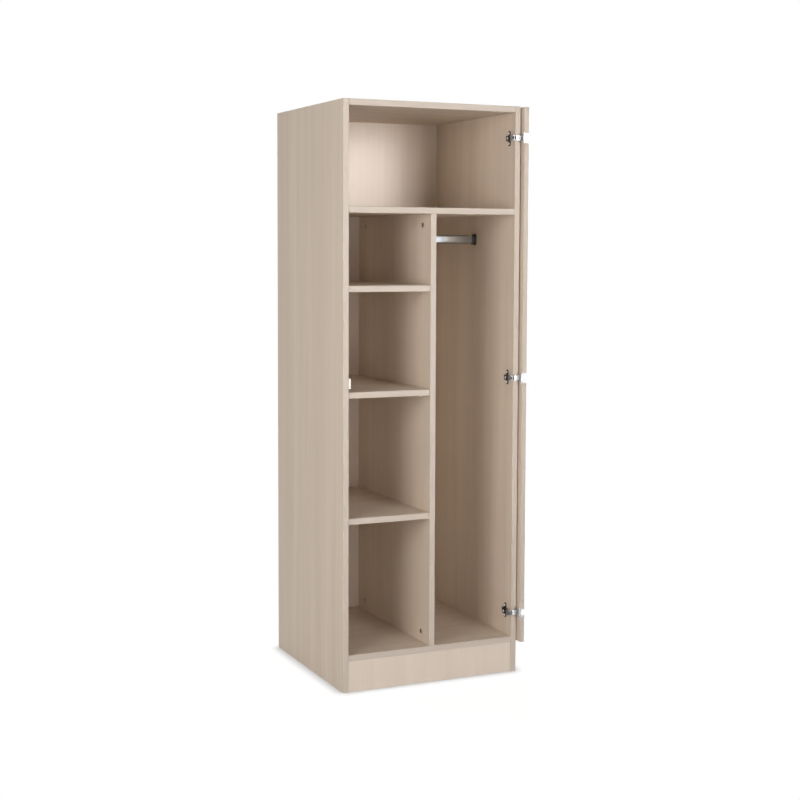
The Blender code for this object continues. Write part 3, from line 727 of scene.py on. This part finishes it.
def armShape():
    low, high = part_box("hinge_arm_middle")
    z = hingeZ - hinge["armHeight"] / 2
    outer = low.x + hinge["armDepth"]
    rear, heel, front = high.y, corner.y - hinge["edgeGap"], armFront
    inside, outside = corner.x + hinge["legInner"], corner.x + hinge["legOuter"]
    bend = hinge["corner"]
    first = math.degrees(math.acos((inside - pivot.x) / knuckle))
    last = math.degrees(math.acos((outside - pivot.x) / knuckle)) + 360
    outline = [(outer, heel, z), (outer, rear, z), (low.x, rear, z)]
    outline += arcPoints((low.x + bend, front + bend), bend, 180, 270, z)
    outline += [(inside, front, z)] + arcPoints(pivot, knuckle, first, last, z, 24)
    outline += arcPoints((outside - bend / 2, heel - bend / 2), bend / 2, 0, 90, z)
    arm = traceOutline("hinge_arm", outline, (0, 0, hinge["armHeight"]))
    soften(arm, hinge["round"], 3, 50)
    for start, width, height in hinge["slots"]:
        carve(arm, addBlock("slot", (low.x + start, front - overshoot, hingeZ - height / 2),
                            (low.x + start + width, front + hinge["slotDepth"], hingeZ + height / 2)))
    for start, length in hinge["sideSlots"]:
        half = hinge["sideSlotHeight"] / 2
        carve(arm, addBlock("slot", (low.x - overshoot, corner.y + start, hingeZ - half),
                            (low.x + hinge["slotDepth"], corner.y + start + length, hingeZ + half)))
    first, last = hinge["block"]
    half = hinge["blockHeight"] / 2
    block = addBlock("block", (low.x + first, front - hinge["blockRise"], hingeZ - half),
                     (low.x + last, front + hinge["sink"], hingeZ + half))
    soften(block, hinge["blockRound"], 2, 50)
    weld(arm, block)
    x = corner.x - hinge["bossInset"]
    boss = addRod("boss", (x, front + overshoot, hingeZ), (x, front - hinge["bossRise"], hingeZ),
                  hinge["bossRadius"], 40)
    roundEdges(boss, lambda a, b: max(a.y, b.y) < front - hinge["bossRise"] * nearEnd, hinge["bossRound"], 3)
    grooveRadius = hinge["bossRadius"] + hinge["bossGroove"]
    carve(arm, addRod("groove", (x, front - hinge["grooveRise"], hingeZ), (x, front + hinge["grooveDepth"], hingeZ),
                      grooveRadius, 40))
    weld(arm, boss)
    carve(arm, addRod("eye", (x, front - hinge["grooveRise"], hingeZ), (x, front + hinge["eyeDepth"], hingeZ),
                      hinge["bossEye"], 24))
    at = (low.x, corner.y + hinge["screwBack"], hingeZ)
    weld(arm, screwHead("screw", at, (-1, 0, 0), hinge["screwRadius"], hinge["armScrewRise"]))
    carve(arm, pinBore())
    splitFaces(arm, (0, corner.y + hinge["rootStart"], 0), (0, 1, 0))
    return arm


def cupShape():
    low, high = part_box("hinge_cup_middle")
    doorLow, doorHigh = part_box("door_panel")
    half, wall = hinge["cupHeight"] / 2, hinge["cupWall"]
    edge, end = doorLow.y, high.y
    plate = edge + hinge["edgePlate"]
    rim = high.x
    outline = [(cupFloor - wall, end), (cupFloor - wall, plate), (doorLow.x, plate), (doorLow.x, edge),
               (rim, edge), (rim, end)]
    cup = traceOutline("hinge_cup", [(x, y, hingeZ - half) for x, y in outline], (0, 0, hinge["cupHeight"]))
    roundEdges(cup, lambda a, b: min(a.y, b.y) > end - flush, hinge["cupCorner"], 5)
    middle = (plate + end - wall) / 2
    face = doorHigh.x + hinge["gap"]
    wings = addBlock("wings", (face, middle - hinge["cupWing"] / 2, low.z),
                     (face + hinge["wingThickness"], middle + hinge["cupWing"] / 2, high.z))
    roundEdges(wings, lambda a, b: abs(a.x - b.x) > close, hinge["wingCorner"], 5)
    weld(cup, wings)
    earHeight = half - hinge["armHeight"] / 2 - hinge["gap"]
    seat = edge + hinge["edgePlate"] / 2
    for base in (hingeZ - half, hingeZ + half - earHeight):
        outline = arcPoints(pivot, knuckle, -30, -245, base, 24)
        outline += [(doorLow.x + hinge["gap"], seat, base), (cupFloor - hinge["gap"], seat, base)]
        ear = traceOutline("ear", outline, (0, 0, earHeight))
        soften(ear, hinge["earRound"], 2, 50)
        weld(cup, ear)
    inside = half - wall
    cavity = addBlock("cavity", (cupFloor, plate, hingeZ - inside), (rim + overshoot, end - wall, hingeZ + inside))
    roundEdges(cavity, lambda a, b: min(a.y, b.y) > end - wall - flush, hinge["cavityCorner"], 5)
    mouth = addBlock("mouth", (cupFloor, edge - overshoot, hingeZ - hinge["mouth"] / 2),
                     (rim + overshoot, plate + overshoot, hingeZ + hinge["mouth"] / 2))
    carve(cup, cavity, mouth, pinBore())
    for sign in (1, -1):
        at = (face + hinge["wingThickness"], middle, hingeZ + sign * (half + high.z - hingeZ) / 2)
        weld(cup, screwHead("screw", at, (1, 0, 0), hinge["wingScrew"], hinge["wingScrewRise"]))
    return cup


def pinShape():
    pin = addRod("hinge_pin", (pivot.x, pivot.y, pinLow.z), (pivot.x, pivot.y, pinHigh.z), hinge["pin"], 32)
    soften(pin, hinge["pinRound"], 3, 50)
    return pin


def onScrew(normal, at):  # the heads on the plate
    return at.x < plateFace - close


def paintedHighlightOnBlock(normal, at):  # the raised block on the arm's front, where a highlight is painted
    first, last = hinge["block"]
    return at.y < armFront - hinge["blockRise"] / 4 and armFace + first - close < at.x < armFace + last + close


def fromBoss(at):
    return math.hypot(at.x - corner.x + hinge["bossInset"], at.z - hingeZ)


def paintedHighlightOnBoss(normal, at):  # the ring beside the block, painted lighter as a highlight
    return at.y < armFront + close and fromBoss(at) < hinge["bossRadius"] + close


def onArmScrew(normal, at):
    return at.x < armFace - close


def paintedHighlightOnLeg(normal, at):  # the leg and the knuckle at its end, painted lighter as a highlight
    return at.x > corner.x + hinge["legInner"] - close and at.y < armFront - close


def paintedShadeInSlot(normal, at):  # the arm's slots and eye, and the plain end behind them, darkened as painted shade
    back, right = at.y - corner.y, at.x - armFace
    inFront = armFront + close < at.y < armFront + hinge["slotDepth"] + close
    inSide = close < right < hinge["slotDepth"] + close
    cut = inFront and any(start - close < right < start + width + close and abs(at.z - hingeZ) < height / 2 + close
                          for start, width, height in hinge["slots"])
    cut = cut or inSide and any(start - close < back < start + length + close
                                and abs(at.z - hingeZ) < hinge["sideSlotHeight"] / 2 + close
                                for start, length in hinge["sideSlots"])
    eye = inFront and fromBoss(at) < hinge["bossEye"] + close
    groove = inFront and -close < fromBoss(at) - hinge["bossRadius"] < hinge["bossGroove"] + close
    return cut or eye or groove or (back > hinge["rootStart"] and right > -close)


hingeParts = {
    # the plate's body in near-black nickel is painted shade; its screw heads take near-white zinc with a painted
    # highlight
    "plate": (plateShape, "paintedShadeNickel", (("screwZincHighlight", onScrew),)),
    # the arm is one piece of nickel: the block, leg and boss take painted highlights, and the slots, eye, groove and
    # root painted shade
    "arm": (armShape, "nickel", (("brightNickel", paintedHighlightOnBlock), ("satinNickel", paintedHighlightOnLeg), ("satinNickel", paintedHighlightOnBoss),
                                 ("screwZincHighlight", onArmScrew), ("paintedShadeNickel", paintedShadeInSlot))),
    "pin": (pinShape, "brightNickel", ()),
    "cup": (cupShape, "satinNickel", ()),
}
for part, (shape, look, seconds) in hingeParts.items():
    model = shape()
    model.data.materials.clear()
    model.data.materials.append(metal[look])
    for second, test in seconds:
        secondFinish(model, metal[second], test)
    for place in hinge["places"]:
        node = f"hinge_{part}_{place}"
        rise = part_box(node)[0].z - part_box(f"hinge_{part}_middle")[0].z
        piece = copyTo(model, node + "_fitted", Matrix.Translation((0, 0, rise)))
        finishPiece(piece, node, None)
    bpy.data.objects.remove(model)
print("hinges fitted")


# door, its pull and its lock, folded back as the frame has them

door = {
    "radius": 0.0013,
    "gap": 0.0003,
    "lockRadius": 0.009, "nut": 0.0037, "nutRadius": 0.0125, "rosetteRadius": 0.013,
    "rotorRadius": 0.006, "stub": 0.003, "stubHead": 0.0015, "stubHeadRadius": 0.005,
    "rosetteRound": 0.0009, "nutRound": 0.0005, "rotorRound": 0.0006, "headRound": 0.0004,
    "sink": 0.0005,  # how far welded pieces reach into each other
    "keySlot": (0.0014, 0.008, 0.004), "cross": (0.0058, 0.001, 0.0009),
    "pullWall": 0.0015, "pullRim": 0.0005,
    "tongueRound": 0.0005,
}
doorLow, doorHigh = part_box("door_panel")
doorFace, doorBack = doorLow.x, doorHigh.x  # outer face and inner face
bodyLow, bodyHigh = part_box("lock_body")
lockMiddle = (bodyLow + bodyHigh) / 2


def lockRod(name, start, end, radius, sides=48):
    return addRod(name, (start, lockMiddle.y, lockMiddle.z), (end, lockMiddle.y, lockMiddle.z), radius, sides)


def doorShape():
    panel = addBlock("door_panel_board", doorLow, doorHigh)
    roundEdges(panel, lambda a, b: abs(a.x - b.x) < flush, door["radius"], 4)
    gap = door["gap"]
    half = hinge["cupHeight"] / 2 + gap
    plate = doorLow.y + hinge["edgePlate"] + gap
    floor = cupFloor - hinge["cupWall"] - gap
    front, back, edge = doorFace - overshoot, doorBack + overshoot, doorLow.y - overshoot
    for place in hinge["places"]:
        low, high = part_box("hinge_cup_" + place)
        z = (low.z + high.z) / 2
        pocket = addBlock("pocket", (floor, edge, z - half), (back, high.y + gap, z + half))
        recess = addBlock("recess", (front, edge, z - half), (back, plate, z + half))
        carve(panel, pocket, recess)
    carve(panel, lockRod("bore", front, back, door["lockRadius"] + gap))
    pullLow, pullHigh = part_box("flush_pull")
    size = pullHigh - pullLow
    centre = (pullLow + pullHigh) / 2
    carve(panel, addOval("pocket", (front, centre.y, centre.z), size.y + 2 * gap, size.z + 2 * gap,
                         size.x + gap + overshoot))
    finishPiece(panel, "door_panel", decorUpright)
    secondFinish(panel, paintedShadeEdgingUpright, lambda normal, at: abs(normal.x) < boards["faceTilt"])


def pullShape():
    low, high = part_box("flush_pull")
    size, centre = high - low, (low + high) / 2
    dish = addOval("flush_pull_dish", (low.x, centre.y, centre.z), size.y, size.z, size.x, 96)
    pickFaces(dish, lambda normal, at: normal.x < -0.9)
    bpy.ops.mesh.inset(thickness=door["pullWall"], depth=0)
    bpy.ops.mesh.extrude_region_move(TRANSFORM_OT_translate={"value": (size.x - door["pullWall"], 0, 0)})
    objectMode()
    soften(dish, door["pullRim"], 3, 50)
    finishPiece(dish, "flush_pull", metal["aluminium"])


def lockShape():
    gap = door["gap"]
    rosetteFace, sleeveEnd = bodyLow.x, bodyHigh.x
    body = lockRod("lock_body_fitted", rosetteFace, doorFace - gap, door["rosetteRadius"], 64)
    roundEdges(body, lambda a, b: max(a.x, b.x) < rosetteFace + flush, door["rosetteRound"], 4)
    nutStart = doorBack + gap
    nut = lockRod("nut", nutStart, nutStart + door["nut"], door["nutRadius"], 6)
    soften(nut, door["nutRound"], 2, 30)
    weld(body, lockRod("sleeve", rosetteFace + door["sink"], sleeveEnd, door["lockRadius"]), nut)
    carve(body, lockRod("bore", rosetteFace - overshoot, sleeveEnd + overshoot, door["rotorRadius"] + gap))
    finishPiece(body, "lock_body", metal["nickel"])

    rotorLow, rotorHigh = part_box("lock_rotor")
    tongueLow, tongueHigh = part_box("lock_tongue")
    rotor = lockRod("lock_rotor_fitted", rotorLow.x, sleeveEnd, door["rotorRadius"])
    roundEdges(rotor, lambda a, b: max(a.x, b.x) < rotorLow.x + flush, door["rotorRound"], 3)
    head = lockRod("head", rotorHigh.x - door["stubHead"], rotorHigh.x, door["stubHeadRadius"])
    soften(head, door["headRound"], 2, 50)
    weld(rotor, lockRod("stub", sleeveEnd - 2 * door["sink"], rotorHigh.x - door["sink"], door["stub"]), head)
    width, length, depth = door["keySlot"]
    carve(rotor, addBlock("key", (rotorLow.x - overshoot, lockMiddle.y - width / 2, lockMiddle.z - length / 2),
                          (rotorLow.x + depth, lockMiddle.y + width / 2, lockMiddle.z + length / 2)))
    crossSlot(rotor, (rotorHigh.x, lockMiddle.y, lockMiddle.z), (1, 0, 0), *door["cross"])
    finishPiece(rotor, "lock_rotor", metal["nickel"])

    eye = (tongueHigh.y - tongueLow.y) / 2
    arc = arcPoints((0, 0), eye, 180, 360, 0, 24)
    tip = tongueHigh.z - lockMiddle.z
    outline = [(y, z) for y, z, _ in arc] + [(eye, tip), (-eye, tip)]
    points = [(tongueLow.x, lockMiddle.y + y, lockMiddle.z + z) for y, z in outline]
    tongue = traceOutline("lock_tongue_fitted", points, (tongueHigh.x - tongueLow.x, 0, 0))
    soften(tongue, door["tongueRound"], 3, 60)
    carve(tongue, lockRod("bore", tongueLow.x - overshoot, tongueHigh.x + overshoot, door["stub"] + gap))
    finishPiece(tongue, "lock_tongue", metal["steel"])


doorShape()
pullShape()
lockShape()
print("door, pull and lock fitted")


# strike plate on the left panel

strike = {"thickness": 0.0015, "radius": 0.0004, "screwRadius": 0.003, "screwRise": 0.0007, "screwSpacing": 0.018}
strikeLow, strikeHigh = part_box("strike_plate")
wall = strikeLow.x + strike["thickness"]
lip = strikeLow.y + strike["thickness"]
outline = [(strikeLow.x, strikeLow.y), (strikeHigh.x, strikeLow.y), (strikeHigh.x, lip), (wall, lip),
           (wall, strikeHigh.y), (strikeLow.x, strikeHigh.y)]
angle = traceOutline("strike_plate_fitted", [(x, y, strikeLow.z) for x, y in outline],
                     (0, 0, strikeHigh.z - strikeLow.z))
soften(angle, strike["radius"], 3, 50)
for sign in (1, -1):
    at = (wall, (lip + strikeHigh.y) / 2, (strikeLow.z + strikeHigh.z) / 2 + sign * strike["screwSpacing"] / 2)
    weld(angle, screwHead("screw", at, (1, 0, 0), strike["screwRadius"], strike["screwRise"]))
finishPiece(angle, "strike_plate", metal["strikeZinc"])
print("strike plate fitted")


# floor, light and camera

studio = {
    "floorSize": 60.0,
    "floorTone": 0.80,
    "shadowTone": 0.30,  # how strongly the seen floor takes the lamps' shadow
    "contactReach": 0.040,
    "contactRange": (0.5, 1.0),  # how open the floor is there, half open beside an upright board
    "paintedShadowGlow": (0.40, 0.86),  # painted contact shadow: the seen floor's glow from right beside the base to the open floor
    "shadowReach": (0.5, 1.0),  # the floor fades to plain white between these distances
    "ambient": 0.22,
    "key": {"place": (1.85, -7.49, 1.95), "aim": (0, 0.2, 1.6), "size": 2.6, "power": 25.5, "spread": 40,
            "colour": (1, 1, 1)},
    "fill": {"place": (-3.25, -2.07, 1.5), "aim": (0, 0, 1.0), "size": 1.8, "power": 67, "spread": 180,
             "colour": (1, 0.97, 0.94)},
    "low": {"place": (-1.06, -4.61, 0.5), "aim": (0, 0, 1.0), "size": 2.0, "power": 30, "spread": 180,
            "colour": (1, 0.98, 0.96)},
    "rear": {"place": (1.6, 4.2, 4.4), "aim": (0, 0.2, 1.2), "size": 2.4, "power": 95, "spread": 180,
             "colour": (1, 1, 1)},
    "camera": {"place": (-1.9928, -4.4038, 1.3597), "turn": (85.658, -0.237, -24.782), "lens": 66.89,
               "shift": (-0.0150, -0.0500), "sensor": 36},
}


def seenRays(tree):  # camera, mirror and glass rays
    path = addNode(tree, "ShaderNodeLightPath")
    glossy = addMath(tree, "MAXIMUM", path.outputs["Is Camera Ray"], path.outputs["Is Glossy Ray"])
    return addMath(tree, "MAXIMUM", glossy, path.outputs["Is Transmission Ray"])


def makeFloor():
    bpy.ops.object.select_all(action="DESELECT")
    bpy.ops.mesh.primitive_plane_add(size=studio["floorSize"], location=(0, 0, 0))
    floor = adopt("studioFloor")
    material = bpy.data.materials.new("studioFloor")
    material.use_nodes = True
    tree = material.node_tree
    tree.nodes.clear()
    matt = addNode(tree, "ShaderNodeBsdfDiffuse")
    matt.inputs["Color"].default_value = (studio["floorTone"],) * 3 + (1,)
    shade = addNode(tree, "ShaderNodeBsdfDiffuse")
    shade.inputs["Color"].default_value = (studio["shadowTone"],) * 3 + (1,)
    glow = addNode(tree, "ShaderNodeEmission")
    seenFloor = addNode(tree, "ShaderNodeAddShader")
    white = addNode(tree, "ShaderNodeEmission")
    fade = addNode(tree, "ShaderNodeMixShader")
    both = addNode(tree, "ShaderNodeMixShader")
    output = addNode(tree, "ShaderNodeOutputMaterial")
    # the seen floor's glow dims with ambient occlusion near the base: a painted contact shadow
    nearness = addNode(tree, "ShaderNodeAmbientOcclusion", samples=16)
    nearness.inputs["Distance"].default_value = studio["contactReach"]
    place = addNode(tree, "ShaderNodeTexCoord")
    distance = addNode(tree, "ShaderNodeVectorMath", operation="LENGTH")
    tree.links.new(place.outputs["Object"], distance.inputs[0])
    away = addRange(tree, distance.outputs["Value"], *studio["shadowReach"], 0, 1)
    strength = addRange(tree, nearness.outputs["AO"], *studio["contactRange"], *studio["paintedShadowGlow"])
    tree.links.new(strength, glow.inputs["Strength"])
    tree.links.new(shade.outputs[0], seenFloor.inputs[0])
    tree.links.new(glow.outputs[0], seenFloor.inputs[1])
    tree.links.new(away, fade.inputs["Fac"])
    tree.links.new(seenFloor.outputs[0], fade.inputs[1])
    tree.links.new(white.outputs[0], fade.inputs[2])
    tree.links.new(seenRays(tree), both.inputs["Fac"])
    tree.links.new(matt.outputs[0], both.inputs[1])
    tree.links.new(fade.outputs[0], both.inputs[2])
    tree.links.new(both.outputs[0], output.inputs["Surface"])
    floor.data.materials.append(material)


def makeWorld():
    world = bpy.data.worlds.new("studioWorld")
    bpy.context.scene.world = world
    world.use_nodes = True
    tree = world.node_tree
    ground = tree.nodes["Background"]
    ground.inputs["Color"].default_value = (1, 1, 1, 1)
    seen = seenRays(tree)
    dim = addMath(tree, "MULTIPLY", addMath(tree, "SUBTRACT", 1, seen), studio["ambient"])
    tree.links.new(addMath(tree, "ADD", seen, dim), ground.inputs["Strength"])


def addLamp(name):
    lamp = studio[name]
    place = Vector(lamp["place"])
    turn = (Vector(lamp["aim"]) - place).to_track_quat("-Z", "Y").to_euler()
    bpy.ops.object.light_add(type="AREA", location=place, rotation=turn)
    light = bpy.context.object
    light.name = name + "Lamp"
    light.data.size = lamp["size"]
    light.data.energy = lamp["power"]
    light.data.spread = math.radians(lamp["spread"])
    light.data.color = lamp["colour"]


def addCamera():
    view = studio["camera"]
    bpy.ops.object.camera_add(location=view["place"], rotation=[math.radians(turn) for turn in view["turn"]])
    camera = bpy.context.object
    camera.data.lens = view["lens"]
    camera.data.sensor_width = view["sensor"]
    camera.data.shift_x, camera.data.shift_y = view["shift"]
    bpy.context.scene.camera = camera


makeFloor()
makeWorld()
for lamp in ("key", "fill", "low", "rear"):
    addLamp(lamp)
addCamera()
bpy.context.scene.view_settings.view_transform = "Standard"
print("studio ready")
